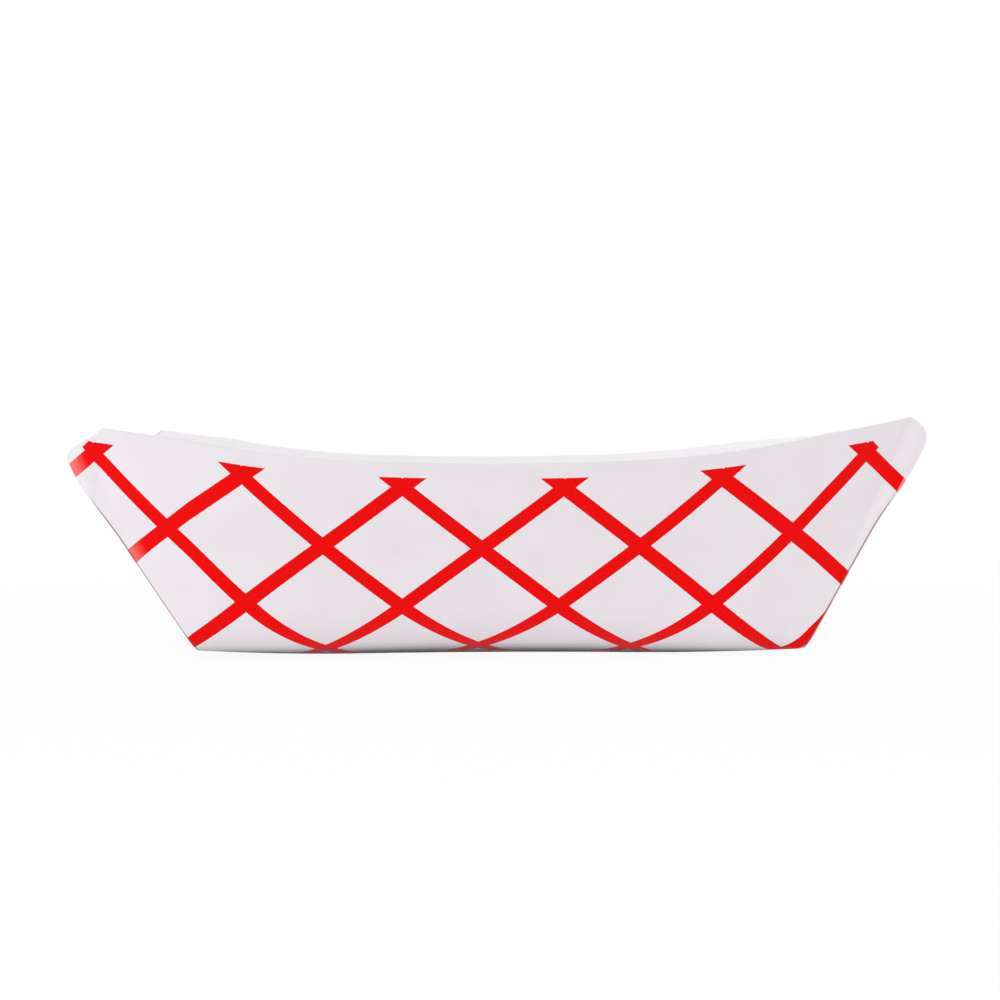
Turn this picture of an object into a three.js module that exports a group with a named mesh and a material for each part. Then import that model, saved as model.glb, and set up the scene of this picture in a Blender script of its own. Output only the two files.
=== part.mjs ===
// Paper food tray: one printed paperboard blank, folded up and glued to itself at four corners.
// Millimetres, +Z up. X runs along the tray, Y across it, and the floor is at z = 0.
//
// The long sides have no crease along the base: the board leaves the flat base in a roll that is
// wide at mid-length and tightens towards the ends, where it becomes a sharp base corner. The two
// end panels are creased up from the base. At each corner the long side is creased, wraps round
// onto the outside of the end panel and is glued there, so the board lies double behind the flap.
// Near the rim that crease fades out and the board bends round in an ear.
//
// Every spot of the outer face also has a place on the flat blank, where the print is a lattice of
// straight bands. The facets are cut along the bands' edges, so the print folds with the board.

import * as THREE from "three";
import { mergeVertices } from "three/addons/utils/BufferGeometryUtils.js";

// Board
const boardThickness = 0.45;

// Long sides, measured on the outer face. The blank's width is measured along the board from the
// middle of the base to the rim.
const blankHalfWidth = 92.2;
const midBaseHalfWidth = 25.4;
const endBaseHalfWidth = 38;
const midRollRadius = 31.5;
const midRise = 56.4;
const bowPower = 2.1;
const bowReachAtBase = 69;
const bowReachAtRim = 94.8;

// Base: it lies flat in the middle, and its ends spring clear of the floor
const flatHalfLength = 30;
const endSpring = 1.7;

// End panels, from the base crease up. Each flares out a little under its rim.
const endRimHeight = 39.5;
const flareHeight = 16;

// Share of the side's height at which the corner crease starts to fade into the ear
const earStart = 0.66;

// Glued flaps on the outside of the end panels
const flapReach = 24;
const partedShare = 0.08;

// The ends and their corners differ a little, as folded board does. The ear's rim falls from the
// side's height to the ear's own, the more suddenly the smaller the fall is.
const leftEnd = {
  baseHalfLength: 66.4,
  panelRise: 57.6,
  sideRise: 74.9,
  rollRadius: 2.9,
  creaseRadius: 1.2,
  earRadius: 16,
  earHeight: 40.5,
  earFall: 0.75,
  flare: 0.9,
  frontLift: 0.3,
  backLift: 0,
};
const rightEnd = {
  baseHalfLength: 71.3,
  panelRise: 62.6,
  sideRise: 75.3,
  rollRadius: 3.4,
  creaseRadius: 2.2,
  earRadius: 6.4,
  earHeight: 42,
  earFall: 1,
  flare: 1.55,
  frontLift: 1.7,
  backLift: -2.4,
};

// Print on the outer face, measured on the flat blank: two families of slanting bands that cross in
// diamonds. It ends in a line under the rim, in slanting lines at its corners, and on the flaps
// just past the crease.
const diamondLength = 34.3;
const crossingRowStep = 15.85;
const topCrossingRow = 86.1;
const latticeShift = -3.25;
const bandWidth = 3.4;
const printHalfWidth = 88.65;
const printHalfLength = 87;
const printBleed = 3.5;

// Fineness of the facets
const lineStep = 0.5;
const sideColumns = 16;
const earColumns = 5;
const flapColumns = 3;
const bareColumns = 3;
const outerRows = { roll: 5, lean: 5 };
const innerRows = { roll: 4, lean: 4 };
const snapDistance = 0.08;
const weldDistance = 1e-3;

const { lerp, degToRad, clamp, smoothstep } = THREE.MathUtils;

// A spot of the board has its place on the folded tray, its place on the flat blank, and its
// distance past the corner crease
function spotBetween(first, second, share) {
  return {
    place: first.place.clone().lerp(second.place, share),
    blank: first.blank.clone().lerp(second.blank, share),
    past: lerp(first.past, second.past, share),
  };
}

// How far the section has tightened, from 0 at mid-length to 1 at the corner crease, which lies
// further out the higher it is
function tightenedAt(u, share) {
  return Math.min(1, Math.pow(u / lerp(bowReachAtBase, bowReachAtRim, share), bowPower));
}

// The section across the long side at the distance u from mid-length
function sectionAt(end, u, share) {
  const tightened = tightenedAt(u, share);
  return {
    baseHalfWidth: lerp(midBaseHalfWidth, endBaseHalfWidth, tightened),
    rollRadius: lerp(midRollRadius, end.rollRadius, tightened),
    rise: degToRad(lerp(midRise, end.sideRise, tightened)),
  };
}

// A point of that section: flat base, roll, then a straight lean. The share runs from 0 where the
// roll starts to 1 at the rim, and the depth goes into the board from its outer face.
function sectionPoint({ baseHalfWidth, rollRadius, rise }, share, depth) {
  const length = share * (blankHalfWidth - baseHalfWidth);
  const turn = Math.min(length / rollRadius, rise);
  const straight = length - turn * rollRadius;
  const radius = rollRadius - depth;
  return {
    y: baseHalfWidth + radius * Math.sin(turn) + straight * Math.cos(turn),
    z: rollRadius - radius * Math.cos(turn) + straight * Math.sin(turn),
    v: baseHalfWidth + length,
  };
}

function lineLength(end) {
  return bowReachAtRim + end.earRadius;
}

// One line along the long side from mid-length outwards. Equal lengths along the board are equal
// lengths in space, because board bends but doesn't stretch.
function sideLine(end, share, depth) {
  const line = [];
  let x = 0;
  let before = null;
  for (let u = 0; u <= lineLength(end); u += lineStep) {
    const here = sectionPoint(sectionAt(end, u, share), share, depth);
    if (before) {
      const onBoard = lineStep ** 2 + (here.v - before.v) ** 2;
      const sideways = (here.y - before.y) ** 2 + (here.z - before.z) ** 2;
      x += Math.sqrt(onBoard - sideways);
    }
    const place = new THREE.Vector3(x, here.y, here.z);
    line.push({ place, blank: new THREE.Vector2(u, here.v), past: 0 });
    before = here;
  }
  return line;
}

function spotAlong(line, distance) {
  const index = clamp(Math.floor(distance / lineStep), 0, line.length - 2);
  return spotBetween(line[index], line[index + 1], distance / lineStep - index);
}

// The value between low and high where a rising function passes zero
function findZero(rising, low, high) {
  const halvings = 40;
  for (let i = 0; i < halvings; i += 1) {
    const middle = (low + high) / 2;
    if (rising(middle) > 0) high = middle;
    else low = middle;
  }
  return (low + high) / 2;
}

// Where the end panel's face stands at a height
function endPanelX(end, z, depth) {
  const rise = degToRad(end.panelRise);
  const flared = end.flare * smoothstep(z, end.earHeight - flareHeight, end.earHeight);
  return end.baseHalfLength + z / Math.tan(rise) + flared - depth / Math.sin(rise);
}

// The sharp corner that the side and the end panel would make at one share of the side's height
function sharpCorner(end, share, sideDepth, endDepth) {
  const line = sideLine(end, share, sideDepth);
  const beyond = (u) => {
    const { place } = spotAlong(line, u);
    return place.x - endPanelX(end, place.z, endDepth);
  };
  const creaseAt = findZero(beyond, 0, lineLength(end));
  return { line, creaseAt, corner: spotAlong(line, creaseAt) };
}

// The step on the flat blank that runs across the end panel once the flap is folded round. The
// folded flap keeps its angle to the crease.
function flapDirection(end) {
  const low = sharpCorner(end, 0, 0, 0).corner;
  const high = sharpCorner(end, 1, 0, 0).corner;
  const inwards = new THREE.Vector3(0, -1, 0);
  const onBlank = high.blank.clone().sub(low.blank).angle();
  const folded = high.place.clone().sub(low.place).angleTo(inwards);
  return new THREE.Vector2(1, 0).rotateAround(new THREE.Vector2(), onBlank - folded);
}

// The corner with its rounding: where that leaves the side, its sharp corner, and where it reaches
// the end panel
function cornerAt(end, share, { sideDepth, flapDepth }, ontoFlap) {
  const { line, creaseAt, corner } = sharpCorner(end, share, sideDepth, flapDepth);
  const radius = lerp(end.creaseRadius, end.earRadius, smoothstep(share, earStart, 1));
  const sideEdge = spotAlong(line, creaseAt - radius);
  return { line, sideEdge, corner, endEdge: movedOver(corner, radius, ontoFlap), radius };
}

// A spot of the flap, moved over the end panel away from the crease
function movedOver(spot, distance, ontoFlap) {
  const place = spot.place.clone();
  place.y -= distance;
  const blank = spot.blank.clone().addScaledVector(ontoFlap, distance);
  return { place, blank, past: spot.past + distance };
}

// A bend that leaves one face along it and meets the other along it
function bendSpot({ sideEdge, corner, endEdge }, turn) {
  const first = spotBetween(sideEdge, corner, turn);
  const second = spotBetween(corner, endEdge, turn);
  return spotBetween(first, second, turn);
}

// The share of the side's height at which the corner has the given height
function shareAtHeight(end, height) {
  return findZero((share) => sharpCorner(end, share, 0, 0).corner.place.z - height, 0, 1);
}

// The end panel's rim dips towards its middle
function endRimAt(end, across) {
  return lerp(endRimHeight, end.earHeight, across * across);
}

function flapReachAt(share) {
  return flapReach * (1 - Math.pow(1 - share, 3));
}

// The columns of one quarter of the wall, from mid-length of the side to the middle of the end.
// Each column is a function from a share of its own height to a spot.
function quarterColumns(end, lift, skin) {
  const ontoFlap = flapDirection(end);
  const cornerOf = (share) => cornerAt(end, share, skin, ontoFlap);
  const columns = [];
  for (let i = 0; i <= sideColumns; i += 1) {
    columns.push((share) => {
      const { line, sideEdge } = cornerOf(share);
      const spot = spotAlong(line, (sideEdge.blank.x * i) / sideColumns);
      return settled(spot, end, lift * share * tightenedAt(spot.blank.x, share));
    });
  }
  const earShare = shareAtHeight(end, end.earHeight);
  for (let i = 1; i <= earColumns; i += 1) {
    const turn = i / earColumns;
    const top = lerp(1, earShare, Math.pow(turn, end.earFall));
    columns.push((share) => settled(bendSpot(cornerOf(share * top), turn), end, lift * share * top));
  }
  const earY = cornerOf(earShare).endEdge.place.y;
  const endColumn = (acrossFlap, acrossBare, depthAt) => {
    const inwards = (y, reach) => acrossFlap * reach + acrossBare * (y - reach);
    const topY = earY - inwards(earY, flapReachAt(earShare));
    const top = shareAtHeight(end, endRimAt(end, topY / earY));
    return (share) => {
      const { endEdge } = cornerOf(share * top);
      const distance = inwards(endEdge.place.y, flapReachAt(share * top));
      const spot = movedOver(endEdge, distance, ontoFlap);
      spot.place.x = endPanelX(end, spot.place.z, depthAt(share));
      if (depthAt === skin.bareDepth) unfoldPanel(spot, end);
      return settled(spot, end, lift * share * top * (spot.place.y / endEdge.place.y));
    };
  };
  for (let i = 1; i <= flapColumns; i += 1) {
    columns.push(endColumn(i / flapColumns, 0, () => skin.flapDepth));
  }
  for (let i = 0; i <= bareColumns; i += 1) {
    columns.push(endColumn(1, i / bareColumns, skin.bareDepth));
  }
  return columns;
}

// The bare end panel hangs on the base, so on the blank it lies straight beyond the base crease
function unfoldPanel(spot, end) {
  const up = Math.hypot(spot.place.x - end.baseHalfLength, spot.place.z);
  spot.blank.set(end.baseHalfLength + up, spot.place.y);
  spot.past = 0;
}

// Raises a spot by the spring of the base's end and by its corner's own lift
function settled(spot, end, lift) {
  spot.place.z += springAt(end, spot.place.x) + lift;
  return spot;
}

function springAt(end, x) {
  const sprung = clamp((x - flatHalfLength) / (end.baseHalfLength - flatHalfLength), 0, 1);
  return endSpring * sprung * sprung;
}

// The shares at which a column is sampled: evenly round the roll, then evenly up the lean
function rowShares(end, across, rows) {
  const { baseHalfWidth, rollRadius, rise } = sectionAt(end, across * end.baseHalfLength, 0);
  const rolled = (rollRadius * rise) / (blankHalfWidth - baseHalfWidth);
  const shares = [];
  for (let j = 0; j < rows.roll; j += 1) {
    shares.push((rolled * j) / rows.roll);
  }
  for (let j = 0; j <= rows.lean; j += 1) {
    shares.push(lerp(rolled, 1, j / rows.lean));
  }
  return shares;
}

// One skin of the wall as columns of spots, all the way round
function wallSkin(skin, rows) {
  const quarter = (end, lift, signX, signY) =>
    quarterColumns(end, lift, skin).map((column, i) =>
      rowShares(end, Math.min(1, i / sideColumns), rows).map((share) => {
        const { place, blank, past } = column(share);
        place.multiply(new THREE.Vector3(signX, signY, 1));
        blank.multiply(new THREE.Vector2(signX, signY));
        return { place, blank, past };
      }),
    );
  return [
    ...quarter(rightEnd, rightEnd.frontLift, 1, -1).slice(0, -1),
    ...quarter(rightEnd, rightEnd.backLift, 1, 1).reverse().slice(0, -1),
    ...quarter(leftEnd, leftEnd.backLift, -1, 1).slice(0, -1),
    ...quarter(leftEnd, leftEnd.frontLift, -1, -1).reverse().slice(0, -1),
  ];
}

// Triangles between neighbouring columns
function stitch(facets, columns, flip) {
  columns.forEach((column, i) => {
    const next = columns[(i + 1) % columns.length];
    for (let j = 0; j + 1 < column.length; j += 1) {
      addQuad(facets, column[j], next[j], next[j + 1], column[j + 1], flip);
    }
  });
}

function addQuad(facets, a, b, c, d, flip) {
  if (flip) facets.push([a, c, b], [a, d, c]);
  else facets.push([a, b, c], [a, c, d]);
}

// The base: strips across the tray between its two long edges, and a fan at each end
function addFloor(facets, columns, flip) {
  const edge = columns.map((column) => column[0]);
  const half = edge.length / 2;
  for (let i = -sideColumns; i < sideColumns; i += 1) {
    addQuad(facets, edge.at(i), edge.at(i + 1), edge.at(half - i - 1), edge.at(half - i), flip);
  }
  [sideColumns, half + sideColumns].forEach((first) => {
    const last = first + half - 2 * sideColumns;
    for (let i = first + 1; i < last; i += 1) {
      facets.push(flip ? [edge[first], edge[i + 1], edge[i]] : [edge[first], edge[i], edge[i + 1]]);
    }
  });
}

// The lines on the blank along which the print starts and stops
function printEdges() {
  const steepness = Math.hypot(1 / diamondLength, 1 / (2 * crossingRowStep));
  const family = (slant) => (spot) =>
    ((spot.blank.x - latticeShift) / diamondLength +
      (slant * (spot.blank.y + topCrossingRow)) / (2 * crossingRowStep)) /
    steepness;
  const pitch = 1 / steepness;
  const bands = [];
  const reach = Math.ceil((blankHalfWidth * 2) / crossingRowStep);
  for (let k = -reach; k < reach; k += 1) {
    bands.push((k + 1 / 2) * pitch - bandWidth / 2, (k + 1 / 2) * pitch + bandWidth / 2);
  }
  return {
    families: [family(1), family(-1)],
    bands,
    pitch,
    outline: [
      { measure: ({ blank }) => Math.abs(blank.y), level: printHalfWidth },
      {
        measure: ({ blank }) => Math.abs(blank.x - latticeShift) + Math.abs(blank.y),
        level: printHalfLength + printHalfWidth,
      },
      { measure: ({ past }) => past, level: printBleed },
    ],
  };
}

const print = printEdges();

// Every cut that the print needs, always in the same order, so that neighbours agree
const printCuts = [
  ...print.families.flatMap((measure) => print.bands.map((level) => ({ measure, level }))),
  ...print.outline,
];

// Cuts a facet where a measure of its spots passes a level. A spot close to the line counts as on it.
function cutFacet(facet, { measure, level }) {
  const over = facet.map((spot) => measure(spot) - level);
  if (Math.min(...over) > -snapDistance || Math.max(...over) < snapDistance) return [facet];
  const above = [];
  const below = [];
  facet.forEach((spot, i) => {
    const next = (i + 1) % facet.length;
    if (over[i] > -snapDistance) above.push(spot);
    if (over[i] < snapDistance) below.push(spot);
    const cut = cutBetween(spot, facet[next], over[i], over[next]);
    if (cut) {
      above.push(cut);
      below.push(cut);
    }
  });
  return [above, below];
}

function cutBetween(first, second, overFirst, overSecond) {
  const low = Math.min(overFirst, overSecond);
  const high = Math.max(overFirst, overSecond);
  if (low > -snapDistance || high < snapDistance) return null;
  const [from, to] = overFirst < overSecond ? [first, second] : [second, first];
  return spotBetween(from, to, low / (low - high));
}

// An edge with the same cuts as the facets beside it
function cutEdge(from, to) {
  let spots = [from, to];
  printCuts.forEach(({ measure, level }) => {
    const over = spots.map((spot) => measure(spot) - level);
    spots = spots.flatMap((spot, i) => {
      const last = i + 1 === spots.length;
      const cut = last ? null : cutBetween(spot, spots[i + 1], over[i], over[i + 1]);
      return cut ? [spot, cut] : [spot];
    });
  });
  return spots;
}

function isInk(facet) {
  const middle = facet.reduce((sum, spot, i) => spotBetween(sum, spot, 1 / (i + 1)), facet[0]);
  const onBand = print.families.some((measure) => {
    const place = measure(middle) / print.pitch;
    return Math.abs(place - Math.floor(place) - 1 / 2) * print.pitch < bandWidth / 2;
  });
  return onBand && print.outline.every(({ measure, level }) => measure(middle) < level);
}

function foldedTray(paper, ink) {
  // Outside, the flap lies a board's thickness proud of the bare panel. They part at the base.
  const outside = {
    sideDepth: 0,
    flapDepth: 0,
    bareDepth: (share) => boardThickness * Math.min(1, share / partedShare),
  };
  // Inside, the side is one board deep and the end panel two
  const inside = {
    sideDepth: boardThickness,
    flapDepth: 2 * boardThickness,
    bareDepth: () => 2 * boardThickness,
  };
  const outer = wallSkin(outside, outerRows);
  const inner = wallSkin(inside, innerRows);
  const printed = [];
  stitch(printed, outer, false);
  addFloor(printed, outer, true);
  const plain = [];
  stitch(plain, inner, true);
  addFloor(plain, inner, false);
  addRim(plain, outer, inner);
  const mesh = { corners: [], colours: [] };
  printCuts
    .reduce((facets, cut) => facets.flatMap((facet) => cutFacet(facet, cut)), printed)
    .forEach((facet) => addFan(mesh, facet, isInk(facet) ? ink : paper));
  plain.forEach((facet) => addFan(mesh, facet, paper));
  return closedGeometry(mesh);
}

// The cut edge of the board, all the way round the rim
function addRim(facets, outer, inner) {
  outer.forEach((column, i) => {
    const next = (i + 1) % outer.length;
    const outside = cutEdge(column.at(-1), outer[next].at(-1));
    facets.push([inner[i].at(-1), ...outside, inner[next].at(-1)]);
  });
}

// Triangles of one colour that share the facet's first corner
function addFan(mesh, facet, colour) {
  for (let i = 1; i + 1 < facet.length; i += 1) {
    mesh.corners.push(facet[0].place, facet[i].place, facet[i + 1].place);
    mesh.colours.push(...colour, ...colour, ...colour);
  }
}

// Joins corners that coincide and drops triangles that have closed up
function closedGeometry({ corners, colours }) {
  const loose = new THREE.BufferGeometry().setFromPoints(corners);
  loose.setAttribute("color", new THREE.Float32BufferAttribute(colours, 3));
  const merged = mergeVertices(loose, weldDistance);
  const index = merged.getIndex().array;
  const kept = [];
  for (let i = 0; i < index.length; i += 3) {
    const [a, b, c] = [index[i], index[i + 1], index[i + 2]];
    if (a !== b && b !== c && c !== a) kept.push(a, b, c);
  }
  merged.setIndex(kept);
  merged.computeVertexNormals();
  return merged;
}

const paper = new THREE.Color(0xe9e5e6);
const ink = new THREE.Color(0xe81a1d);
const printedBoard = new THREE.MeshStandardMaterial({
  vertexColors: true,
  roughness: 0.72,
  metalness: 0,
});

const tray = new THREE.Mesh(foldedTray(paper.toArray(), ink.toArray()), printedBoard);
tray.name = "tray";

// The origin is under the middle of the whole tray, on the floor
tray.geometry.computeBoundingBox();
const middle = tray.geometry.boundingBox.getCenter(new THREE.Vector3());
tray.geometry.translate(-middle.x, -middle.y, 0);

const model = new THREE.Group();
model.add(tray);

export default model;
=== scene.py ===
# %% [markdown]
# # A paper food tray
#
# The tray is a single die-cut blank of white paperboard, printed on one face and folded up. It could
# be modelled by pushing a box about until it looks right. In this lesson we build it from the geometry
# of folding instead: every point of the tray is also a point of the flat blank. That gives the folded
# form and, for free, the exact place of the printed lattice, which is laid on before folding.
#
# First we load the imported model. Its box is the size that the finished tray has to keep.

# %% Load the model and keep its box
import math

import bmesh
import bpy
import numpy as np
from mathutils import Euler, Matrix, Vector


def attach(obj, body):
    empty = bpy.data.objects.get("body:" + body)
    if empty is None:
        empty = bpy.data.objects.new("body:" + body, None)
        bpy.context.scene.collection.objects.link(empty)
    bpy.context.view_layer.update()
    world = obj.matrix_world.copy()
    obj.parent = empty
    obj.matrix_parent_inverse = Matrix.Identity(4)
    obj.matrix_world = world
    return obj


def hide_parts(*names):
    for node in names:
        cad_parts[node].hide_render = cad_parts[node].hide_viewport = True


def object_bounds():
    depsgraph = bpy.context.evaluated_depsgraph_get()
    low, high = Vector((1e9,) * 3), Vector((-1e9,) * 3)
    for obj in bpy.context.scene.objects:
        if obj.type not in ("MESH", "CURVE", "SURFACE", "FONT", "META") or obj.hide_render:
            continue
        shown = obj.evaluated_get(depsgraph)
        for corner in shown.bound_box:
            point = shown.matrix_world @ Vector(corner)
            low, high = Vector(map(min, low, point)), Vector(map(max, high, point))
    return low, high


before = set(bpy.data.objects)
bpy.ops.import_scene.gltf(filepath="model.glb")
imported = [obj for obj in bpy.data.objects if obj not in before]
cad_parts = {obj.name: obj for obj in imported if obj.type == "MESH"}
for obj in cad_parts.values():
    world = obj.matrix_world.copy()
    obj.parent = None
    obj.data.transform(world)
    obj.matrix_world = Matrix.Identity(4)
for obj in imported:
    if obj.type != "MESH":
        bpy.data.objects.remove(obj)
cad_low, cad_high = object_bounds()
print("tray box in mm:", [round(1000 * side, 1) for side in cad_high - cad_low])

# %% [markdown]
# ## The two ends
#
# Folded board springs back a little differently at each corner, so the two ends are close to each
# other but not the same. We could model one and mirror it, but then the tray would look too perfect,
# so each end gets a table of its own. Sizes are in millimetres and angles in degrees.
#
# `base` is where the base ends, from mid-length. `panel_rise` and `side_rise` are how steeply the
# panel and the side stand, and `roll` is the radius of the roll at the corner. `crease` and `ear` are
# the reach of the bend low down and at the rim, `ear_height` is the height of the panel's rim beside
# it, and `ear_fall` is how soon the ear comes down to it. `flare` is how far the panel turns out near
# its rim. The lifts are how much each corner stands above where an even fold would put it.

# %% Sizes of the two ends
MM = 0.001
LEFT_END = {
    "base": 66.4, "panel_rise": 57.6, "side_rise": 74.9, "roll": 2.9,
    "crease": 1.2, "ear": 16, "ear_height": 40.5, "ear_fall": 0.75,
    "flare": 0.9, "front_lift": 0.3, "back_lift": 0,
}
RIGHT_END = {
    "base": 71.3, "panel_rise": 62.6, "side_rise": 75.3, "roll": 3.4,
    "crease": 2.2, "ear": 6.4, "ear_height": 42, "ear_fall": 1,
    "flare": 1.55, "front_lift": 1.7, "back_lift": -2.4,
}
print("length of the base in mm:", LEFT_END["base"] + RIGHT_END["base"])

# %% [markdown]
# ## The section of a long side
#
# The long sides have no fold at the base. They leave it in a roll that is wide at mid-length and
# tightens to a corner at each end. A bent grid could be sculpted to look like that, but it would
# stretch. A section made of a flat base, an arc and a straight lean has a length that we can keep.
#
# We describe a place on the board by its distance `u` from mid-length and its share of the way up from
# the base to the rim. The roll tightens with a power of `u`, and takes longer to do so at the rim than
# at the base. A spot is an array of seven numbers: x, y and z on the folded tray, u and v on the flat
# blank, the distance past the corner crease, and the distance past the start of its bend. Plain
# arrays are the quickest way to work this out for thousands of spots.

# %% Section of the long side
X, Y, Z, U, V, PAST, BEND = range(7)
BLANK_HALF_WIDTH = 92.2
BASE_HALF_WIDTH_MID, BASE_HALF_WIDTH_END = 25.4, 38
ROLL_RADIUS_MID = 31.5
RISE_MID = 56.4
BOW_POWER = 2.1
BOW_REACH_BASE, BOW_REACH_RIM = 69, 94.8


def blend_between(first, second, share):
    return first + (second - first) * share


def tightened_at(u, share):
    """How far the roll has tightened: 0 at mid-length and 1 at the corner."""
    reach = blend_between(BOW_REACH_BASE, BOW_REACH_RIM, share)
    return np.minimum(1, (u / reach) ** BOW_POWER)


def section_sizes(end, tightened):
    base = blend_between(BASE_HALF_WIDTH_MID, BASE_HALF_WIDTH_END, tightened)
    radius = blend_between(ROLL_RADIUS_MID, end["roll"], tightened)
    rise = np.radians(blend_between(RISE_MID, end["side_rise"], tightened))
    return base, radius, rise


def section_point(end, u, share, depth):
    base, radius, rise = section_sizes(end, tightened_at(u, share))
    length = share * (BLANK_HALF_WIDTH - base)
    turn = np.minimum(length / radius, rise)
    straight = length - turn * radius
    inside = radius - depth
    y = base + inside * np.sin(turn) + straight * np.cos(turn)
    z = radius - inside * np.cos(turn) + straight * np.sin(turn)
    return y, z, base + length


print("rim at mid-length in mm:", round(float(section_point(RIGHT_END, 0, 1, 0)[1]), 1))

# %% [markdown]
# ## Lines along the side
#
# Board bends but doesn't stretch, so equal lengths along the blank stay equal lengths in space. We
# walk along the side in small steps at one share of the way up. Each step's length on the board is
# known, and so is how far it moves sideways and up; what is left of it is the step in x.

# %% Lines along the side
LINE_STEP = 0.5


def side_line(end, share, depth):
    u = np.arange(0, BOW_REACH_RIM + end["ear"], LINE_STEP)
    y, z, v = section_point(end, u, share, depth)
    on_board = LINE_STEP**2 + np.diff(v) ** 2
    sideways = np.diff(y) ** 2 + np.diff(z) ** 2
    x = np.concatenate([[0], np.cumsum(np.sqrt(on_board - sideways))])
    return np.stack([x, y, z, u, v, 0 * u, 0 * u], axis=1)


def along(line, u):
    return np.array([np.interp(u, line[:, U], column) for column in line.T])


rim_line = side_line(RIGHT_END, 1, 0)
print("rim leans out in mm:", round(float(rim_line[0, Y] - BASE_HALF_WIDTH_MID), 1))

# %% [markdown]
# ## The corner crease
#
# On the real tray the end of each long side is folded round the leaning end panel. The crease is
# where a line along the side meets the plane of that panel, so we find it by crossing the two instead
# of drawing it. Near the rim the panel flares out a little.

# %% Crease between side and end panel
FLARE_HEIGHT = 16


def smooth_step(value, low, high):
    share = np.clip((value - low) / (high - low), 0, 1)
    return share * share * (3 - 2 * share)


def end_panel_x(end, z, depth):
    rise = math.radians(end["panel_rise"])
    flared = end["flare"] * smooth_step(z, end["ear_height"] - FLARE_HEIGHT, end["ear_height"])
    return end["base"] + z / math.tan(rise) + flared - depth / math.sin(rise)


def sharp_crease(end, share, side_depth, end_depth):
    """The line along the side at a share of the way up, and the spot where it meets the panel."""
    line = side_line(end, share, side_depth)
    beyond = line[:, X] - end_panel_x(end, line[:, Z], end_depth)
    after = int(np.argmax(beyond > 0))
    part = beyond[after - 1] / (beyond[after - 1] - beyond[after])
    return line, along(line, line[after - 1, U] + part * LINE_STEP)


def share_at_height(end, height):
    """The share of the way up at which the crease reaches a height."""
    low, high = 0.0, 1.0
    for _ in range(30):
        middle = (low + high) / 2
        if sharp_crease(end, middle, 0, 0)[1][Z] > height:
            high = middle
        else:
            low = middle
    return (low + high) / 2


for end in (LEFT_END, RIGHT_END):
    print("crease reaches", np.round(sharp_crease(end, 1, 0, 0)[1][:3], 1))

# %% [markdown]
# ## The bend round the crease
#
# Low down the corner is sharp. Near the rim it opens into a round ear. A bevel can't grow along an
# edge like this, so each row gets a curve of its own: it starts on the side, is drawn towards the
# crease and ends on the panel, and its reach grows from the crease's bend to the ear's.
#
# The flap belongs to the long side's blank and turns about the crease like the hand of a clock. From
# the angle between crease and base, before and after the fold, we get the step on the blank that goes
# straight across the end panel.

# %% Bend at a corner
EAR_START = 0.66
FLAT_HALF_LENGTH = 30
END_SPRING = 1.7


def flap_direction(end):
    """The step on the blank that runs across the end panel once the flap is folded round."""
    rise = sharp_crease(end, 1, 0, 0)[1] - sharp_crease(end, 0, 0, 0)[1]
    folded = math.acos(-rise[Y] / np.linalg.norm(rise[:3]))
    turned = math.atan2(rise[V], rise[U]) - folded
    return np.array([0, -1, 0, math.cos(turned), math.sin(turned), 1, 1])


class Corner:
    """One corner of the tray in one of its skins. The depths say how deep its faces lie."""

    def __init__(self, end, lift, depths):
        self.end = end
        self.lift = end[lift]
        self.depths = depths
        self.onto_flap = flap_direction(end)

    def bend(self, share):
        """The line along the side, then the start, the crease and the end of the bend."""
        line, crease = sharp_crease(self.end, share, self.depths["side"], self.depths["flap"])
        opened = smooth_step(share, EAR_START, 1)
        radius = blend_between(self.end["crease"], self.end["ear"], opened)
        side_edge = along(line, crease[U] - radius)
        side_edge[PAST] = -radius
        crease[BEND] = radius
        return line, side_edge, crease, crease + radius * self.onto_flap

    def settled(self, spot, lifted):
        """Raises a spot by the spring of the base's end and by its share of the corner's lift."""
        reach = self.end["base"] - FLAT_HALF_LENGTH
        sprung = np.clip((spot[X] - FLAT_HALF_LENGTH) / reach, 0, 1)
        spot[Z] += END_SPRING * sprung * sprung + self.lift * lifted
        return spot


def bend_spot(found, turn):
    """A spot on the curve of the bend, from 0 on the side to 1 on the panel."""
    _, side_edge, crease, end_edge = found
    first = blend_between(side_edge, crease, turn)
    return blend_between(first, blend_between(crease, end_edge, turn), turn)


# %% [markdown]
# ## Columns over the long side and the ear
#
# A column of spots runs from the base to the rim. The columns of a quarter of the tray start at
# mid-length. The rows could be spread evenly, but then the tight rolls near the ends would turn
# angular, so one set of rows goes evenly round the roll and the other evenly up the lean.

# %% Columns of side and ear
SIDE_COLUMNS = 120
EAR_COLUMNS = 12


def row_shares(end, across, rows):
    """Shares at which a column is sampled: evenly round the roll, then evenly up the lean."""
    base, radius, rise = section_sizes(end, tightened_at(across * end["base"], 0))
    rolled = radius * rise / (BLANK_HALF_WIDTH - base)
    roll_rows, lean_rows = rows
    round_roll = np.linspace(0, rolled, roll_rows, endpoint=False)
    return np.concatenate([round_roll, np.linspace(rolled, 1, lean_rows + 1)])


def side_columns(corner, rows):
    """Half of a long side, from mid-length to the start of the bend."""
    columns = []
    for i in range(SIDE_COLUMNS + 1):
        column = []
        for share in row_shares(corner.end, i / SIDE_COLUMNS, rows):
            line, side_edge, crease, _ = corner.bend(share)
            spot = along(line, side_edge[U] * i / SIDE_COLUMNS)
            spot[PAST], spot[BEND] = spot[U] - crease[U], spot[U] - side_edge[U]
            column.append(corner.settled(spot, share * tightened_at(spot[U], share)))
        columns.append(column)
    return columns


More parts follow.
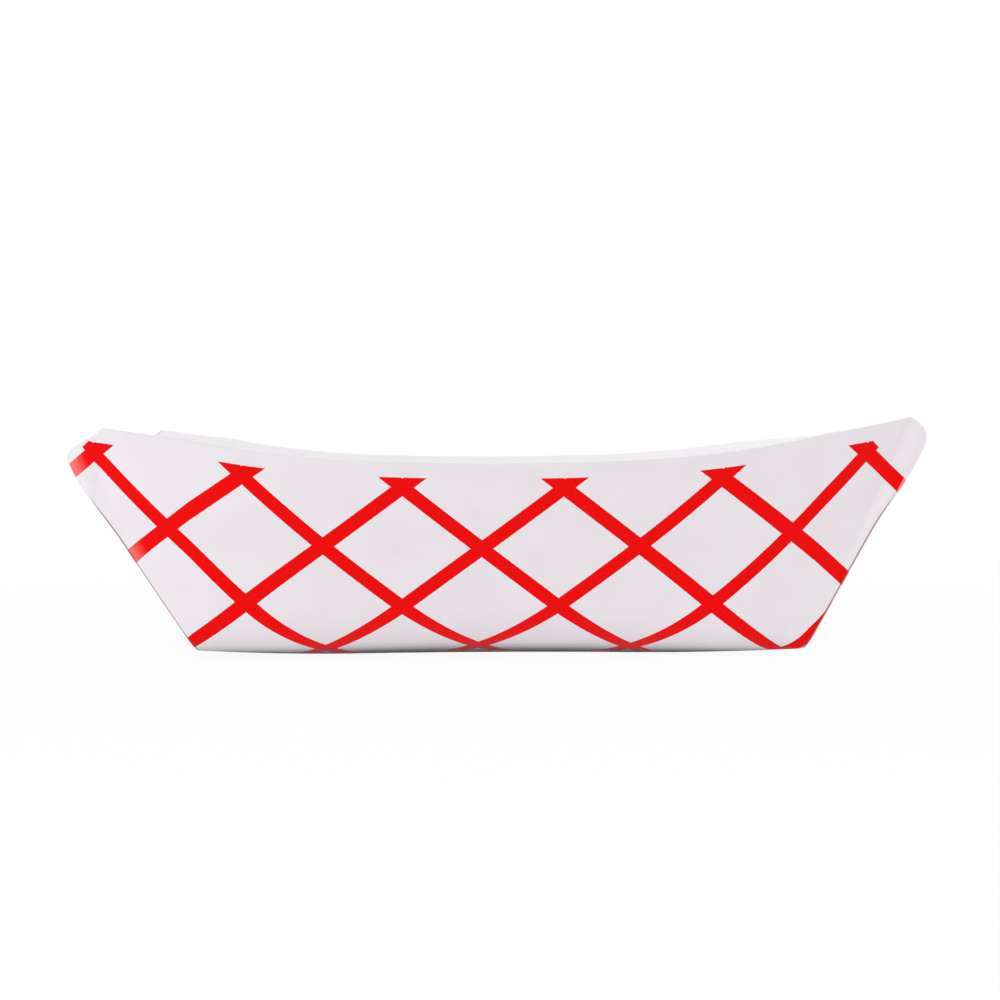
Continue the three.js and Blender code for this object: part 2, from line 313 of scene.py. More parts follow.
def ear_columns(corner, shares):
    """The bend round the crease. Its top falls from the side's rim to the end panel's."""
    ear_share = share_at_height(corner.end, corner.end["ear_height"])
    columns = []
    for turn in np.arange(1, EAR_COLUMNS + 1) / EAR_COLUMNS:
        top = blend_between(1, ear_share, turn ** corner.end["ear_fall"])
        spots = [bend_spot(corner.bend(share * top), turn) for share in shares]
        columns.append([corner.settled(spot, share * top) for spot, share in zip(spots, shares)])
    return columns


# %% [markdown]
# ## Columns over the flap and the end panel
#
# The glued flap lies on the outside of the end panel and ends in a slanting edge; past it the bare
# panel lies one board deeper. Flap and panel could be two meshes, but the glue makes them one, and a
# single surface with a small step has no seam to hide. The end panel hangs on the base, so on the
# blank it lies straight beyond it.

# %% Columns of flap and end panel
FLAP_COLUMNS = 14
BARE_COLUMNS = 14
FLAP_REACH = 24
END_RIM_HEIGHT = 39.5
PARTED_SHARE = 0.08


def flap_reach(share):
    return FLAP_REACH * (1 - (1 - share) ** 3)


def end_rim(end, across):
    """The end panel's rim is lowest in the middle."""
    return blend_between(END_RIM_HEIGHT, end["ear_height"], across * across)


def bare_depth(corner, share):
    """Outside, the flap and the bare panel part from each other a little above the base."""
    is_outside = corner.depths["side"] == 0
    return corner.depths["bare"] * (min(1, share / PARTED_SHARE) if is_outside else 1)


def end_spot(corner, share, top, over_flap, over_bare):
    """A spot of the end: so far over the flap, and so far over the bare panel if it is on it."""
    end = corner.end
    edge = corner.bend(share * top)[3]
    reach = flap_reach(share * top)
    distance = over_flap * reach + (over_bare or 0) * (edge[Y] - reach)
    spot = edge + distance * corner.onto_flap
    is_bare = over_bare is not None
    depth = bare_depth(corner, share) if is_bare else corner.depths["flap"]
    spot[X] = end_panel_x(end, spot[Z], depth)
    if is_bare:
        spot[U] = end["base"] + math.hypot(spot[X] - end["base"], spot[Z])
        spot[V], spot[PAST], spot[BEND] = spot[Y], -END_RIM_HEIGHT, -END_RIM_HEIGHT
    return corner.settled(spot, share * top * spot[Y] / edge[Y])


def end_columns(corner, shares):
    """The flap from the bend to its edge, then the bare panel to the middle of the end."""
    end = corner.end
    ear_share = share_at_height(end, end["ear_height"])
    ear_y = corner.bend(ear_share)[3][Y]
    top_reach = flap_reach(ear_share)
    stops = [(i / FLAP_COLUMNS, None) for i in range(1, FLAP_COLUMNS + 1)]
    stops += [(1, i / BARE_COLUMNS) for i in range(BARE_COLUMNS + 1)]
    columns = []
    for over_flap, over_bare in stops:
        top_y = ear_y - over_flap * top_reach - (over_bare or 0) * (ear_y - top_reach)
        top = share_at_height(end, end_rim(end, top_y / ear_y))
        columns.append([end_spot(corner, share, top, over_flap, over_bare) for share in shares])
    return columns


# %% [markdown]
# ## All the way round
#
# Four quarters make the ring. A mirror modifier would copy the print as well, so that each quarter
# repeated the same piece of lattice. We mirror the spots by hand and flip the sign of the place on the
# blank too, and the lattice runs on across the whole sheet. The outer skin needs more rows than the
# inner one, since it carries the print and faces the camera.

# %% Skins of the wall
BOARD = 0.45
OUTER_ROWS = (26, 40)
INNER_ROWS = (20, 26)


def quarter(corner, rows):
    shares = row_shares(corner.end, 1, rows)
    return np.array(
        side_columns(corner, rows) + ear_columns(corner, shares) + end_columns(corner, shares)
    )


def skin(rows, depths):
    def turned(end, lift, sign_x, sign_y):
        signs = (sign_x, sign_y, 1, sign_x, sign_y, 1, 1)
        return quarter(Corner(end, lift, depths), rows) * signs

    return np.concatenate(
        [
            turned(RIGHT_END, "front_lift", 1, -1)[:-1],
            turned(RIGHT_END, "back_lift", 1, 1)[::-1][:-1],
            turned(LEFT_END, "back_lift", -1, 1)[:-1],
            turned(LEFT_END, "front_lift", -1, -1)[::-1][:-1],
        ]
    )


outer = skin(OUTER_ROWS, {"side": 0, "flap": 0, "bare": BOARD})
inner = skin(INNER_ROWS, {"side": BOARD, "flap": 2 * BOARD, "bare": 2 * BOARD})
print("columns round the tray:", len(outer))

# %% [markdown]
# ## A sheet that collects faces
#
# A skin is a grid of spots that closes on itself, and so is the cut edge of the rim. The base isn't:
# it is filled with strips between its two long edges and one many-sided face at each end. Blender can
# fill a hole by itself, but strips that run from side to side follow the spring of the base.

# %% Sheet of faces
BASE_ROWS = 1


def grid_between(first, second, rows):
    steps = [blend_between(first, second, share) for share in np.linspace(0, 1, rows + 1)]
    return np.stack(steps, 1)


class Sheet:
    """Collects spots, faces and the kind of each face."""

    def __init__(self):
        self.spots = []
        self.faces = []
        self.kinds = []

    def add_face(self, face, kind, flip):
        self.faces.append(face[::-1] if flip else face)
        self.kinds.append(kind)

    def add_grid(self, grid, kind, flip=False, closed=True):
        count, rows = grid.shape[:2]
        first = len(self.spots)
        self.spots.extend(grid.reshape(-1, grid.shape[2]))
        for i in range(count if closed else count - 1):
            left = first + i * rows
            right = first + ((i + 1) % count) * rows
            for j in range(rows - 1):
                self.add_face((left + j, right + j, right + j + 1, left + j + 1), kind, flip)

    def add_base(self, columns, kind, flip):
        edge = columns[:, 0]
        half = len(edge) // 2
        across = range(-SIDE_COLUMNS, SIDE_COLUMNS + 1)
        front = np.array([edge[i] for i in across])
        back = np.array([edge[half - i] for i in across])
        self.add_grid(grid_between(front, back, BASE_ROWS), kind, flip, closed=False)
        for start in (SIDE_COLUMNS, half + SIDE_COLUMNS):
            first = len(self.spots)
            ends = [edge[(start + i) % len(edge)] for i in range(half - 2 * SIDE_COLUMNS + 1)]
            self.spots.extend(ends)
            self.add_face(tuple(range(first, first + len(ends))), kind, flip)


# %% [markdown]
# ## Stitch the tray
#
# Three kinds of surface can be seen on the real tray: the printed face, the plain face inside, and
# the raw cut edge along the rim and at the free edges of the flaps. They get the numbers of their
# materials here, because it is now that we know which face is which. The step at the edge of a flap
# is one column of faces in the outer skin, so we only change its kind.

# %% Faces of the tray
PRINTED, PLAIN, CUT = 0, 1, 2
EDGE_ROWS = 2

sheet = Sheet()
sheet.add_grid(outer, PRINTED)
sheet.add_grid(inner, PLAIN, flip=True)
sheet.add_grid(grid_between(outer[:, -1], inner[:, -1], EDGE_ROWS), CUT)
sheet.add_base(outer, PRINTED, flip=True)
sheet.add_base(inner, PLAIN, flip=False)

half_round = len(outer) // 2
rows_up = outer.shape[1] - 1
flap_edge = SIDE_COLUMNS + EAR_COLUMNS + FLAP_COLUMNS
for column in range(len(outer)):
    if column % half_round in (flap_edge, half_round - flap_edge - 1):
        sheet.kinds[column * rows_up : (column + 1) * rows_up] = [CUT] * rows_up
print("faces of cut edge:", sheet.kinds.count(CUT))

# %% [markdown]
# ## From spots to a mesh
#
# The mesh keeps each spot's place on the blank, and its distance past the crease, as two UV maps in
# millimetres. A UV map is mostly used to lay a picture on a surface. Here it carries plain numbers, so
# that print, grain and the painted shade and sheen at the folds can be worked out on the flat sheet.

# %% Mesh of the tray
spots = np.array(sheet.spots)
middle_shift = (cad_low.x + cad_high.x) / (2 * MM) - (spots[:, X].min() + spots[:, X].max()) / 2
spots[:, X] += middle_shift
mesh = bpy.data.meshes.new("folded_tray")
mesh.from_pydata((spots[:, :3] * MM).tolist(), [], sheet.faces)
mesh.polygons.foreach_set("material_index", sheet.kinds)

spot_of_corner = np.zeros(len(mesh.loops), dtype=int)
mesh.loops.foreach_get("vertex_index", spot_of_corner)
for name, first in (("blank", U), ("bend", PAST)):
    layer = mesh.uv_layers.new(name=name)
    values = spots[spot_of_corner, first : first + 2].astype(np.float32)
    layer.data.foreach_set("uv", values.ravel())

tray = bpy.data.objects.new("folded_tray", mesh)
bpy.context.scene.collection.objects.link(tray)
print("faces of the tray:", len(mesh.polygons))

# %% [markdown]
# ## Close the surface and shade it
#
# The grids were stitched without sharing points where they meet. Merging those points closes the
# surface. Board has soft rolls and crisp cuts, so creases sharper than the chosen angle are kept crisp
# while all the rest is shaded smooth.

# %% Close and shade
MERGE_WITHIN = 0.002 * MM
CRISP_ANGLE = 32

weld = bmesh.new()
weld.from_mesh(mesh)
bmesh.ops.remove_doubles(weld, verts=weld.verts, dist=MERGE_WITHIN)
bmesh.ops.dissolve_degenerate(weld, edges=weld.edges, dist=MERGE_WITHIN)
open_edges = sum(not edge.is_manifold for edge in weld.edges)
weld.to_mesh(mesh)
weld.free()
mesh.set_sharp_from_angle(angle=math.radians(CRISP_ANGLE))
mesh.polygons.foreach_set("use_smooth", [True] * len(mesh.polygons))
mesh.update()
print("edges left open:", open_edges)

# %% [markdown]
# ## Small helpers for materials
#
# A material is a graph of nodes. It could be wired by hand in the shader editor, but the lattice alone
# takes dozens of nodes. These helpers add a node and wire it in one line, so that the formulas below
# read like the sums they are.

# %% Node helpers
class Finish:
    """A material under construction."""

    def __init__(self, name):
        self.material = bpy.data.materials.new(name)
        self.material.use_nodes = True
        self.tree = self.material.node_tree
        self.shader = self.tree.nodes["Principled BSDF"]

    def node(self, kind, **settings):
        made = self.tree.nodes.new(kind)
        for name, value in settings.items():
            setattr(made, name, value)
        return made

    def feed(self, socket, value):
        if isinstance(value, bpy.types.NodeSocket):
            self.tree.links.new(value, socket)
        else:
            socket.default_value = value

    def feed_all(self, sockets, values):
        for socket, value in zip(sockets, values):
            self.feed(socket, value)

    def calc(self, operation, first, second=0.0, third=0.0):
        made = self.node("ShaderNodeMath", operation=operation)
        self.feed_all(made.inputs, (first, second, third))
        return made.outputs[0]

    def ramp(self, value, low, high, start, finish):
        """Goes smoothly from start to finish while the value goes from low to high."""
        made = self.node("ShaderNodeMapRange", interpolation_type="SMOOTHSTEP")
        self.feed_all(made.inputs, (value, low, high, start, finish))
        return made.outputs["Result"]

    def noise(self, place, scale, detail=2.0, roughness=0.5):
        made = self.node("ShaderNodeTexNoise")
        self.feed(made.inputs["Vector"], place)
        made.inputs["Scale"].default_value = scale
        made.inputs["Detail"].default_value = detail
        made.inputs["Roughness"].default_value = roughness
        return made.outputs["Fac"]

    def mix(self, share, first, second):
        made = self.node("ShaderNodeMix", data_type="RGBA")
        sockets = [next(s for s in made.inputs if s.name == name and s.enabled)
                   for name in ("Factor", "A", "B")]
        self.feed_all(sockets, (share, first, second))
        return next(s for s in made.outputs if s.enabled)

    def pair(self, name):
        """The two numbers that the mesh stores under a name."""
        split = self.node("ShaderNodeSeparateXYZ")
        self.feed(split.inputs[0], self.node("ShaderNodeUVMap", uv_map=name).outputs["UV"])
        return split.outputs["X"], split.outputs["Y"]


# %% [markdown]
# ## The printed lattice
#
# Two families of slanting bands cross in diamonds. An image of them would blur from close by. On the
# flat blank the bands are straight, so a band is only a distance from the nearest of a set of evenly
# spaced lines, and stays sharp at any size.
#
# Towards the ends of the real tray the bands lie a little lower than the formula puts them, most of
# all near the base. Shifting both halves of the lattice towards the middle line of the sheet takes
# that up on the long sides. Its weak spot is the middle line itself: near the ends the two halves no
# longer meet there, so the bands break by a few millimetres on the end panels and under the base.

# %% Bands of the lattice
DIAMOND_LENGTH = 34.3
ROW_STEP = 15.85
TOP_ROW = 86.1
LATTICE_SHIFT = -3.25
BAND_WIDTH = 3.4
PRINT_SAG = 1.4
SAG_ALONG = (30.0, 80.0)
SAG_FULL_BELOW = 48.0
SAG_UP_TO_LEFT, SAG_UP_TO_RIGHT = 66.0, 88.0


def sagged(finish, u, v):
    """The lattice lies a little lower towards the ends, most of all near the base."""
    at_left = finish.calc("LESS_THAN", u, 0.0)
    more_at_left = SAG_UP_TO_LEFT - SAG_UP_TO_RIGHT
    top = finish.calc("MULTIPLY_ADD", at_left, more_at_left, SAG_UP_TO_RIGHT)
    to_end = finish.ramp(finish.calc("ABSOLUTE", u), *SAG_ALONG, 0.0, PRINT_SAG)
    to_base = finish.ramp(finish.calc("ABSOLUTE", v), SAG_FULL_BELOW, top, 1.0, 0.0)
    sag = finish.calc("MULTIPLY", to_end, to_base)
    return finish.calc("MULTIPLY_ADD", finish.calc("SIGN", v), sag, v)


def inside_band(finish, along_u, across_v, slant):
    """How far inside the nearest band of one slant a spot lies."""
    line = finish.calc("MULTIPLY_ADD", across_v, slant, along_u)
    off_middle = finish.calc("SUBTRACT", finish.calc("FRACT", line), 0.5)
    steepness = math.hypot(1 / DIAMOND_LENGTH, 1 / (2 * ROW_STEP))
    distance = finish.calc("DIVIDE", finish.calc("ABSOLUTE", off_middle), steepness)
    return finish.calc("SUBTRACT", BAND_WIDTH / 2, distance)


# %% [markdown]
# The artwork stops in a line that runs along the rim and is cut off at the corners. That leaves the
# small fishtails under the rim. At the corner folds it runs on for a few millimetres, as print does
# where a knife might wander. Each limit is one more distance, and the smallest of them all counts.

# %% Limits of the print
PRINT_HALF_WIDTH = 88.65
PRINT_HALF_LENGTH = 87
PRINT_BLEED = 3.5


def inside_artwork(finish, u, v):
    past_length = finish.calc("SUBTRACT", finish.calc("ABSOLUTE", u), PRINT_HALF_LENGTH)
    cut_corner = finish.calc("MAXIMUM", past_length, 0.0)
    height = finish.calc("ADD", finish.calc("ABSOLUTE", v), cut_corner)
    return finish.calc("SUBTRACT", PRINT_HALF_WIDTH, height)


def lattice(finish):
    """How far inside the ink a spot lies, in millimetres. It is negative off the ink."""
    u, v = finish.pair("blank")
    past, _ = finish.pair("bend")
    u = finish.calc("ADD", u, -LATTICE_SHIFT)
    along_u = finish.calc("DIVIDE", u, DIAMOND_LENGTH)
    below_top_row = finish.calc("ADD", sagged(finish, u, v), TOP_ROW)
    across_v = finish.calc("DIVIDE", below_top_row, 2 * ROW_STEP)
    bands = [inside_band(finish, along_u, across_v, slant) for slant in (1.0, -1.0)]
    in_bleed = finish.calc("SUBTRACT", PRINT_BLEED, past)
    limits = finish.calc("MINIMUM", inside_artwork(finish, u, v), in_bleed)
    return finish.calc("MINIMUM", finish.calc("MAXIMUM", *bands), limits)


# %% [markdown]
# ## The paper
#
# Clay-coated board is smooth but not flat: it has a faint fibre relief and a cloudy tone. One even
# white would look like plastic. Two layers of noise, laid on the blank so that they bend with the
# board, give both. The coating hardly shines, and that number is the same all over, so it is set on
# the shader itself.

# %% Paper
PAPER = (0.835, 0.805, 0.84, 1)
PAPER_CLOUD = (0.815, 0.78, 0.82, 1)
CLOUD_NOISE = (0.09, 3.0)
CLOUD_SPAN = (0.35, 0.7)
FIBRE_NOISE = (2.4, 4.0, 0.65)
SHINE = 0.035


def blank_place(finish):
    return finish.node("ShaderNodeUVMap", uv_map="blank").outputs["UV"]


def paper_tone(finish):
    finish.shader.inputs["Specular IOR Level"].default_value = SHINE
    cloud = finish.noise(blank_place(finish), *CLOUD_NOISE)
    return finish.mix(finish.ramp(cloud, *CLOUD_SPAN, 0.0, 1.0), PAPER, PAPER_CLOUD)


def paper_relief(finish, height, strength, distance):
    made = finish.node("ShaderNodeBump")
    made.inputs["Strength"].default_value = strength
    made.inputs["Distance"].default_value = distance
    finish.feed(made.inputs["Height"], height)
    finish.feed(finish.shader.inputs["Normal"], made.outputs["Normal"])


# %% [markdown]
# ## Painted shade and sheen at the folds
#
# Where the board is folded, a thin dark line of painted shade runs down the corner, for the shade that
# falls in the groove of the crease, and the ink beside it is painted pale, for the sheen where the
# board turns away towards the bright surroundings. It could be painted by hand on the mesh. Since the
# mesh knows how far each spot is past the crease, a few ramps on that distance do it for all four
# corners.
# The left corners get the painted sheen before the fold and the right ones after it.

# %% Painted shade and sheen at the folds
FOLD_MIDDLE = 0.85
# Painted shade: where the dark line in the groove of the crease lies, how high it goes and how dark it
# is.
CREASE_SHADE_SPAN = (0.14, 0.38)
CREASE_SHADE_TOP = (70.0, 77.0)
CREASE_SHADE_DARKNESS = 0.95
# Painted sheen: how pale the ink beside the crease turns, and over what distances and heights.
SHEEN_LEFT, SHEEN_RIGHT = 0.24, 0.4
LEFT_SHEEN_GROWS = (-6.5, 0.5)
LEFT_SHEEN_HEIGHT = (45.0, 62.0)
RIGHT_SHEEN_GROWS = (-0.1, 0.15)
RIGHT_SHEEN_FADES = (2.0, 3.5)


def fold_shade_and_sheen(finish):
    """How dark the painted crease shade is, and how much painted sheen pales the ink beside it."""
    u, v = finish.pair("blank")
    past, bend = finish.pair("bend")
    height = finish.calc("ABSOLUTE", v)
    at_left = finish.calc("LESS_THAN", u, 0.0)
    left, right = (FOLD_MIDDLE * end["crease"] for end in (LEFT_END, RIGHT_END))
    middle = finish.calc("MULTIPLY_ADD", at_left, left - right, right)
    beyond = finish.calc("SUBTRACT", bend, middle)

    # Painted shade: a thin dark line along the crease, fading out towards the rim.
    line = finish.ramp(finish.calc("ABSOLUTE", beyond), *CREASE_SHADE_SPAN, CREASE_SHADE_DARKNESS, 0.0)
    line = finish.calc("MULTIPLY", line, finish.ramp(height, *CREASE_SHADE_TOP, 1.0, 0.0))

    # Painted sheen: the ink beside the crease is paled, before it at the left corners and after it at
    # the right ones.
    before = finish.ramp(past, *LEFT_SHEEN_GROWS, 0.0, SHEEN_LEFT)
    before = finish.calc("MULTIPLY", before, finish.ramp(height, *LEFT_SHEEN_HEIGHT, 0.0, 1.0))
    after = finish.ramp(beyond, *RIGHT_SHEEN_GROWS, 0.0, SHEEN_RIGHT)
    after = finish.calc("MULTIPLY", after, finish.ramp(beyond, *RIGHT_SHEEN_FADES, 1.0, 0.0))
    painted_sheen = finish.node("ShaderNodeMix", data_type="FLOAT")
    finish.feed_all(painted_sheen.inputs[:1] + painted_sheen.inputs[2:4], (at_left, after, before))
    return line, painted_sheen.outputs[0]


# %% [markdown]
# ## The ink
#
# The red is printed in one pass. It lies on the board in a fine mottle, is a little darker along the
# edges of the bands, where the plate squeezes it out, and its edge is slightly ragged. The same grain
# drives the mottle and the raggedness, as both come from the board's own fibre.

# %% Ink
INK = (1.0, 0.001, 0.002, 1)
INK_DARK = (0.72, 0.005, 0.004, 1)
INK_EDGE_TONE = (0.72, 0.010, 0.010, 1)
# The pale pink of the painted sheen beside the folds.
INK_SHEEN = (1.0, 0.72, 0.70, 1)
GRAIN_NOISE = (2.0, 2.0, 0.6)
GRAIN_SPAN = (0.38, 0.64)
INK_EDGE_SPAN = (0.05, 0.42)
INK_RAGGEDNESS = 0.16
INK_COVER_SPAN = (-0.03, 0.09)


def inked(finish, painted_sheen):
    """The ink's colour, paled by the painted sheen near the folds, and how far it covers the board."""
    inside = lattice(finish)
    grain = finish.noise(blank_place(finish), *GRAIN_NOISE)
    ink = finish.mix(finish.ramp(grain, *GRAIN_SPAN, 0.0, 1.0), INK, INK_DARK)
    ink = finish.mix(finish.ramp(inside, *INK_EDGE_SPAN, 1.0, 0.0), ink, INK_EDGE_TONE)
    # Painted sheen: the ink turns pale pink near the folds.
    ink = finish.mix(painted_sheen, ink, INK_SHEEN)
    centred = finish.calc("SUBTRACT", grain, 0.5)
    ragged = finish.calc("MULTIPLY_ADD", centred, INK_RAGGEDNESS, inside)
    return ink, finish.ramp(ragged, *INK_COVER_SPAN, 0.0, 1.0)


# %% [markdown]
# ## The three surfaces
#
# The printed face is coated and carries paper and ink, with painted shade and painted sheen at the
# folds. The plain face and the cut edge show the same board without them. One material could switch
# between the three, but three short ones are easier to read and to change. The printed one is put
# together from the steps above: ink, paled by the painted sheen near the folds, over paper, and the
# dark line of painted shade in the crease over both.

# %% Printed face
# Colour of the painted shade in the crease.
CREASE_SHADE_TONE = (0.20, 0.055, 0.075, 1)
PAPER_ROUGHNESS, INK_ROUGHNESS = 0.55, 0.42
PRINTED_RELIEF = (0.12, 0.00005)


def printed_face():
    finish = Finish("printed_face")
    crease_shade, painted_sheen = fold_shade_and_sheen(finish)
    ink, cover = inked(finish, painted_sheen)
    colour = finish.mix(cover, paper_tone(finish), ink)
    # Painted shade: the dark line in the crease, laid over ink and paper.
    colour = finish.mix(crease_shade, colour, CREASE_SHADE_TONE)
    roughness = finish.ramp(cover, 0.0, 1.0, PAPER_ROUGHNESS, INK_ROUGHNESS)
    finish.feed(finish.shader.inputs["Base Color"], colour)
    finish.feed(finish.shader.inputs["Roughness"], roughness)
    paper_relief(finish, finish.noise(blank_place(finish), *FIBRE_NOISE), *PRINTED_RELIEF)
    return finish.material


# %% [markdown]
# The plain face inside is the uncoated side of the board, duller and more even. The cut edge shows the
# raw fibre of its core. It is quite matt and rough, so it gets a coarser relief.

# %% Plain face and cut edge
INSIDE_PAPER = (0.94, 0.93, 0.94, 1)
INSIDE_EVENNESS = 0.75
PLAIN_ROUGHNESS = 0.62
PLAIN_RELIEF = (0.18, 0.00006)
CUT_EDGE = (0.86, 0.845, 0.83, 1)
CUT_NOISE = (1.1, 4.0, 0.7)
CUT_ROUGHNESS = 0.9
CUT_RELIEF = (0.4, 0.00008)


def plain_face():
    finish = Finish("plain_face")
    colour = finish.mix(INSIDE_EVENNESS, paper_tone(finish), INSIDE_PAPER)
    finish.feed(finish.shader.inputs["Base Color"], colour)
    finish.shader.inputs["Roughness"].default_value = PLAIN_ROUGHNESS
    paper_relief(finish, finish.noise(blank_place(finish), *FIBRE_NOISE), *PLAIN_RELIEF)
    return finish.material


def cut_board():
    finish = Finish("cut_board")
    fuzz = finish.noise(blank_place(finish), *CUT_NOISE)
    finish.feed(finish.shader.inputs["Base Color"], finish.mix(fuzz, CUT_EDGE, PAPER_CLOUD))
    finish.shader.inputs["Roughness"].default_value = CUT_ROUGHNESS
    paper_relief(finish, fuzz, *CUT_RELIEF)
    return finish.material


for make in (printed_face, plain_face, cut_board):
    mesh.materials.append(make())
print("materials:", [material.name for material in mesh.materials])

# %% [markdown]
# ## Ride on the frame
#
# The fine sheet stands for the plain solid in every view. The real tray is one folded and glued piece
# that has no joint, so the sheet moves with the root body.

# %% Put the tray on the frame
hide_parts("tray")
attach(tray, "root")
print("the tray rides on the root body")

# %% [markdown]
# ## The floor
#
# The tray stands on a white table that runs on into a white background. A bright plain floor would
# throw so much light up that the roll under the side stayed white, while on the real table it gets
# darker towards the line where it touches. So the floor does two things. To the camera it is matt
# white, takes the tray's shadow, and glows a little more with distance, until it is as white as the
# background. To the tray it gives back an even, faintly warm light, except from the area right under
# the base, which hardly any light reaches.
#
# First comes what the camera sees: plain matt paint, with a white glow mixed over it.

# %% What the camera sees of the floor
FLOOR_PAINT = (0.9, 0.9, 0.9, 1)
FLOOR_ROUGHNESS = 0.9
FLOOR_GLOW_SPAN = (0.1, 0.45)
FLOOR_GLOW_NEAR = 0.94


def floor_seen(finish, position):
    finish.shader.inputs["Base Color"].default_value = FLOOR_PAINT
    finish.shader.inputs["Roughness"].default_value = FLOOR_ROUGHNESS
    finish.shader.inputs["Specular IOR Level"].default_value = 0.0
    away = finish.node("ShaderNodeVectorMath", operation="LENGTH")
    finish.feed(away.inputs[0], position)
    share = finish.ramp(away.outputs["Value"], *FLOOR_GLOW_SPAN, FLOOR_GLOW_NEAR, 1.0)
    glow = finish.node("ShaderNodeEmission")
    seen = finish.node("ShaderNodeMixShader")
    finish.feed_all(seen.inputs, (share, finish.shader.outputs[0], glow.outputs[0]))
    return seen.outputs[0]


# %% [markdown]
# Then comes what the tray gets. More lamps low down could stand in for it, but a glowing floor needs
# no aiming, and its strength can follow the place: none inside a rectangle that is a little smaller
# than the base, and all of it about a centimetre further out.

# %% What the tray gets from the floor
FLOOR_BOUNCE = (1.0, 0.97, 0.975, 1)
BOUNCE_STRENGTH = 0.87
UNDER_HALF_LENGTH, UNDER_HALF_WIDTH = 0.068, 0.037
UNDER_EDGE_SPAN = (0.93, 1.15)


def floor_bounce(finish, position):
    split = finish.node("ShaderNodeSeparateXYZ")
    finish.feed(split.inputs[0], position)
    sides = zip(split.outputs, (UNDER_HALF_LENGTH, UNDER_HALF_WIDTH))
    shares = [finish.calc("DIVIDE", finish.calc("ABSOLUTE", side), half) for side, half in sides]
    outwards = finish.calc("MAXIMUM", *shares)
    bounce = finish.node("ShaderNodeEmission")
    bounce.inputs["Color"].default_value = FLOOR_BOUNCE
    strength = finish.ramp(outwards, *UNDER_EDGE_SPAN, 0.0, BOUNCE_STRENGTH)
    finish.feed(bounce.inputs["Strength"], strength)
    return bounce.outputs[0]


# %% [markdown]
# A light path node tells the two apart. It gives the first surface to rays from the camera and from
# mirror-like reflections, and the second to all others. The floor itself is one large square, a hair
# below the tray so that the two faces don't flicker.

# %% Floor
FLOOR_SIZE = 6.0
FLOOR_GAP = 0.0001


def floor_finish():
    finish = Finish("floor_white")
    position = finish.node("ShaderNodeNewGeometry").outputs["Position"]
    path = finish.node("ShaderNodeLightPath")
    rays = (path.outputs["Is Camera Ray"], path.outputs["Is Glossy Ray"])
    blend = finish.node("ShaderNodeMixShader")
    surfaces = (floor_bounce(finish, position), floor_seen(finish, position))
    finish.feed_all(blend.inputs, (finish.calc("MAXIMUM", *rays), *surfaces))
    finish.feed(finish.tree.nodes["Material Output"].inputs["Surface"], blend.outputs[0])
    return finish.material


reach = FLOOR_SIZE / 2
floor_mesh = bpy.data.meshes.new("floor")
floor_corners = [(-reach, -reach, 0), (reach, -reach, 0), (reach, reach, 0), (-reach, reach, 0)]
floor_mesh.from_pydata(floor_corners, [], [(0, 1, 2, 3)])
floor_mesh.materials.append(floor_finish())
floor = bpy.data.objects.new("floor", floor_mesh)
floor.location.z = cad_low.z - FLOOR_GAP
bpy.context.scene.collection.objects.link(floor)
print("floor lies at", round(floor.location.z, 4))

# %% [markdown]
# ## Sky and lamps
#
# White board on white needs soft light from all round with a little more from some sides, or its form
# is lost. The world gives the even part. It is pure white to the camera and weaker for the light that
# it sheds, so that pale paper doesn't burn out. One large softbox in front and a small low one at
# each side shape the rolls and the ears.

# %% World and lamps
WORLD_LIGHT = 0.66
LAMP_AIM = Vector((0, 0, 0.03))


def make_world():
    world = bpy.data.worlds.new("studio")
    world.use_nodes = True
    nodes, links = world.node_tree.nodes, world.node_tree.links
    sky = nodes["Background"]
    sky.inputs["Color"].default_value = (1, 1, 1, 1)
    path = nodes.new("ShaderNodeLightPath")
    seen = nodes.new("ShaderNodeMath")
    seen.operation = "MAXIMUM"
    links.new(path.outputs["Is Camera Ray"], seen.inputs[0])
    links.new(path.outputs["Is Glossy Ray"], seen.inputs[1])
    strength = nodes.new("ShaderNodeMapRange")
    links.new(seen.outputs[0], strength.inputs["Value"])
    strength.inputs["To Min"].default_value = WORLD_LIGHT
    strength.inputs["To Max"].default_value = 1.0
    links.new(strength.outputs["Result"], sky.inputs["Strength"])
    bpy.context.scene.world = world


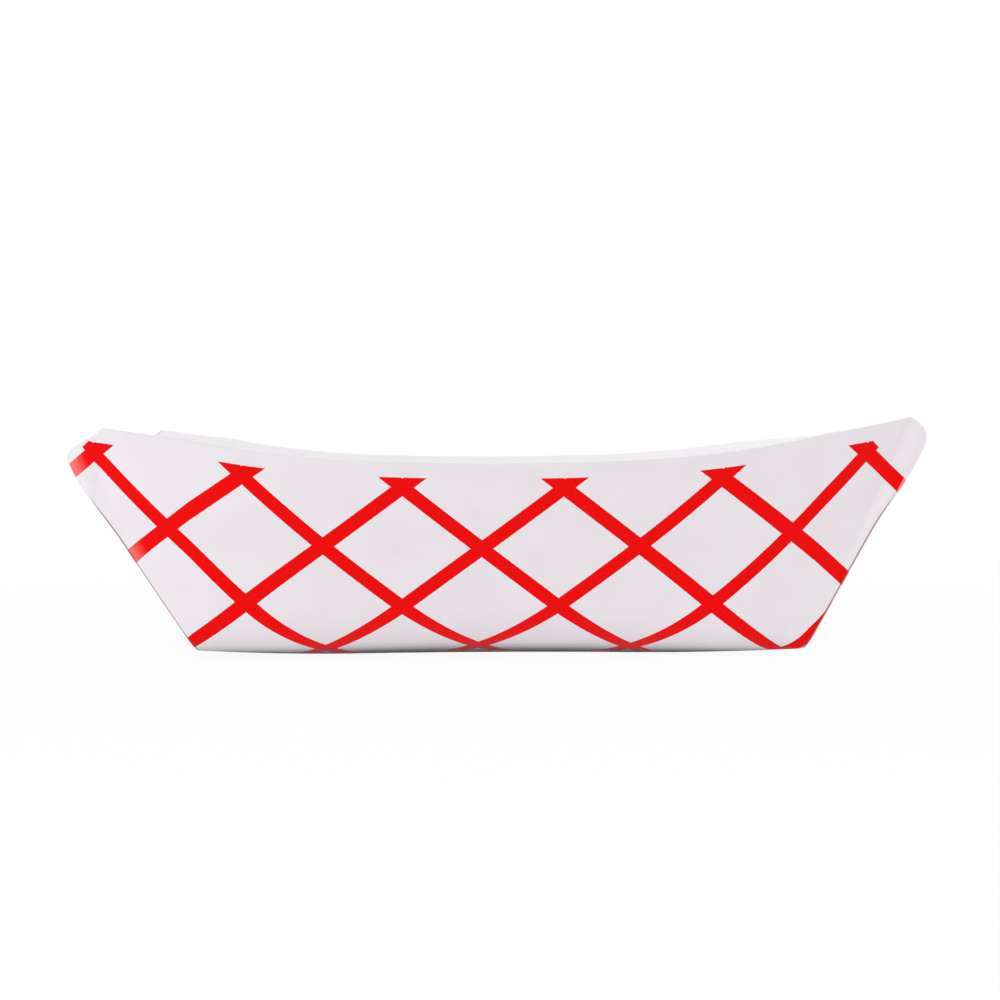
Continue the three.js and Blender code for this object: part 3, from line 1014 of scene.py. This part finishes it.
def make_softbox(name, place, size, watts):
    lamp = bpy.data.lights.new(name, "AREA")
    lamp.shape = "RECTANGLE"
    lamp.size, lamp.size_y = size
    lamp.energy = watts
    holder = bpy.data.objects.new(name, lamp)
    holder.location = place
    holder.rotation_euler = (LAMP_AIM - Vector(place)).to_track_quat("-Z", "Y").to_euler()
    bpy.context.scene.collection.objects.link(holder)
    print(name, "gives", watts, "W")


make_world()
make_softbox("front_softbox", place=(-0.1, -1.0, 0.5), size=(0.9, 0.7), watts=3.6)
make_softbox("left_softbox", place=(-0.95, -0.1, 0.12), size=(0.5, 0.5), watts=2.8)
make_softbox("right_softbox", place=(0.95, 0.3, 0.12), size=(0.5, 0.5), watts=3.0)

# %% [markdown]
# ## The camera
#
# The photograph was taken almost level with the rim, from about half a metre away. The lens is given
# by how many pixels wide a thing looks that is as wide as it is far. Then two small turns, written in
# pixels of the picture too, put the horizon and the tray where the photograph has them.

# %% Camera
IMAGE_SIDE = 1000
FOCAL_PIXELS = 2160
HORIZON_ABOVE_MIDDLE = 65.9
AIM_RIGHT = 14.3
CAMERA_DISTANCE = 0.5246
CAMERA_HEIGHT = 0.0503
CAMERA_TURN = 0.041
SENSOR = 36.0


def make_camera():
    lens = bpy.data.cameras.new("camera")
    lens.sensor_width = SENSOR
    lens.lens = FOCAL_PIXELS / IMAGE_SIDE * SENSOR
    camera = bpy.data.objects.new("camera", lens)
    camera.location = (
        middle_shift * MM - CAMERA_DISTANCE * math.sin(CAMERA_TURN),
        -CAMERA_DISTANCE * math.cos(CAMERA_TURN),
        CAMERA_HEIGHT,
    )
    tilt = math.pi / 2 - math.atan(HORIZON_ABOVE_MIDDLE / FOCAL_PIXELS)
    turn = -CAMERA_TURN - math.atan(AIM_RIGHT / FOCAL_PIXELS)
    camera.rotation_euler = Euler((tilt, 0, turn))
    bpy.context.scene.collection.objects.link(camera)
    bpy.context.scene.camera = camera
    return camera


camera = make_camera()
bpy.context.scene.view_settings.view_transform = "Standard"
print("camera stands at", [round(v, 3) for v in camera.location])
